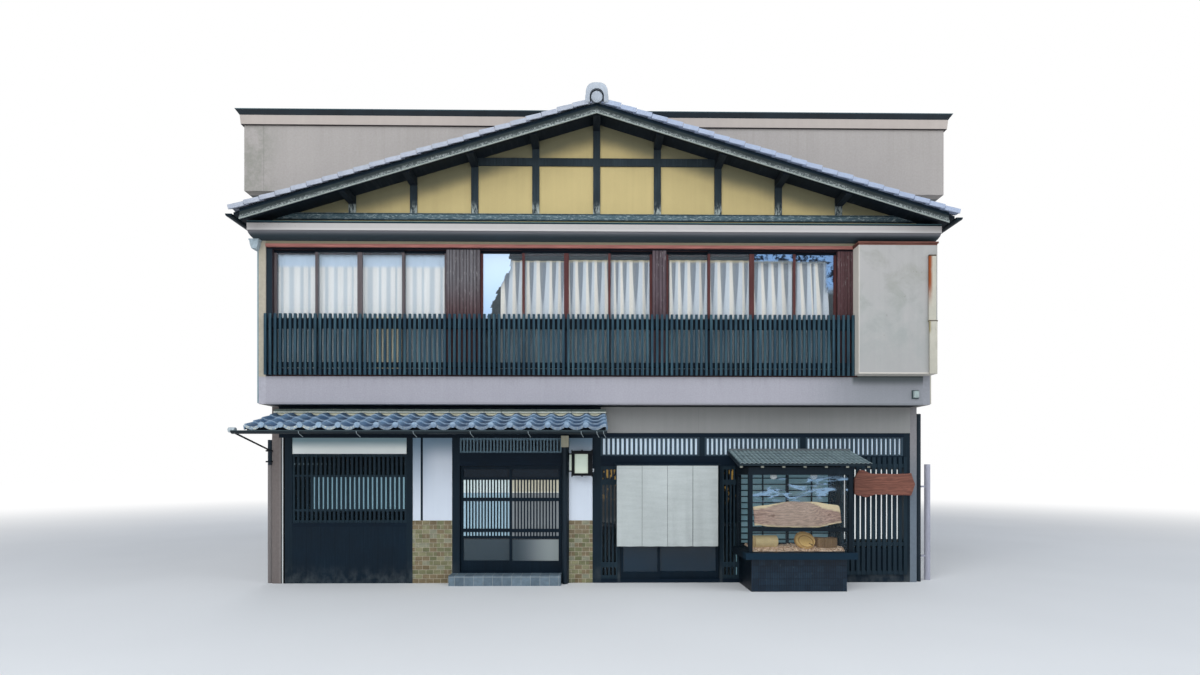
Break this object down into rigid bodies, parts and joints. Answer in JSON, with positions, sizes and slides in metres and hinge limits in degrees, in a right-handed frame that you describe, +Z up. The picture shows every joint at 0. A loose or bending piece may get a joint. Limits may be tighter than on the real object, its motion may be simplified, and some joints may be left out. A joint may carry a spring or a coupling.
{
  "type": "machiya townhouse",
  "caption": "Traditional timber townhouse with sliding shop doors, tiled canopy, railed upper windows, show window and a front gable before a flat-roofed block.",
  "frame": {"origin": "centre of the ground-floor plan, at ground level", "axes": "+Z up, the street front faces -Y, +X to the right seen from the street"},
  "size_m": [11.72, 10.192, 7.6954],
  "materials": {
    "concrete": "rough cast concrete",
    "side_mortar": "aged sprayed mortar",
    "rear_mortar": "aged sprayed mortar, grey rain stains",
    "mauve_mortar": "rough mauve-grey mortar",
    "cream_mortar": "painted mortar",
    "box_mortar": "painted mortar with rust streaks",
    "grey_band": "fine grey plaster",
    "yellow_plaster": "trowelled yellow plaster",
    "white_plaster": "smooth white plaster",
    "floor_board": "plain floor boards",
    "window_wood": "weathered red-brown wood",
    "railing_wood": "dark painted wood, worn",
    "gable_timber": "dark weathered timber",
    "front_timber": "near-black stained timber",
    "door_wood": "black-stained door timber",
    "shop_wood": "dark stained wood",
    "goods_wood": "raw sawn wood",
    "glass": "clear window glass",
    "curtain": "gathered cream curtain",
    "noren_cloth": "unbleached linen",
    "silver_tile": "fired silver-grey roof tile",
    "blue_tile": "fired blue-grey roof tile",
    "dado_tile": "glazed olive tile",
    "base_tile": "dark ribbed tile",
    "cap_metal": "dark painted sheet metal",
    "pipe_metal": "dark painted rain pipe",
    "gutter_metal": "brown-grey gutter sheet",
    "lantern_metal": "black lacquered frame",
    "roof_felt": "grey roof membrane",
    "step_stone": "worn stone step"
  },
  "bodies": {
    "house": {"ground_floor": "concrete", "side_wall_left": "side_mortar", "side_wall_right": "side_mortar", "back_wall": "rear_mortar", "upper_floor": "floor_board", "upper_side_wall_left": "side_mortar", "upper_side_wall_right": "side_mortar", "upper_front_band": "mauve_mortar", "upper_lintel": "cream_mortar", "window_frame": "window_wood", "window_sashes": "window_wood", "upper_glass": "glass", "upper_curtains": "curtain", "railing": "railing_wood", "shutter_box": "box_mortar", "cornice": "cream_mortar", "gable_wall": "yellow_plaster", "gable_frame": "gable_timber", "bargeboards": "gable_timber", "gable_roof_deck": "gable_timber", "gable_tiles": "silver_tile", "ridge_ornament": "silver_tile", "flat_roof": "roof_felt", "parapet_front": "rear_mortar", "parapet_walls": "rear_mortar", "parapet_band": "rear_mortar", "parapet_cap": "cap_metal", "canopy_frame": "gable_timber", "canopy_tiles": "blue_tile", "gutters": "gutter_metal", "downpipes": "pipe_metal", "front_posts": "front_timber", "front_rails": "front_timber", "front_band": "grey_band", "front_boards": "front_timber", "plaster_panels": "white_plaster", "tile_dado": "dado_tile", "front_lattices": "front_timber", "transom_lattices": "front_timber", "ground_glass": "glass", "door_step": "step_stone", "noren_rod": "front_timber", "noren": "noren_cloth", "show_window_base": "base_tile", "show_window_frame": "shop_wood", "show_window_roof": "blue_tile", "show_window_goods": "goods_wood", "lantern": "lantern_metal"},
    "side_leaf_left": {"side_leaf_left": "door_wood", "side_leaf_left_glass": "glass"},
    "side_leaf_right": {"side_leaf_right": "door_wood", "side_leaf_right_glass": "glass"},
    "entry_leaf_left": {"entry_leaf_left": "door_wood", "entry_leaf_left_glass": "glass"},
    "entry_leaf_right": {"entry_leaf_right": "door_wood", "entry_leaf_right_glass": "glass"}
  },
  "joints": [
    {"name": "side_left_slide", "type": "slide", "parent": "house", "child": "side_leaf_left", "axis": [1, 0, 0], "range_m": [0, 0.8005]},
    {"name": "side_right_slide", "type": "slide", "parent": "house", "child": "side_leaf_right", "axis": [-1, 0, 0], "range_m": [0, 0.8005]},
    {"name": "entry_left_slide", "type": "slide", "parent": "house", "child": "entry_leaf_left", "axis": [1, 0, 0], "range_m": [0, 0.97]},
    {"name": "entry_right_slide", "type": "slide", "parent": "house", "child": "entry_leaf_right", "axis": [-1, 0, 0], "range_m": [0, 0.585]}
  ]
}
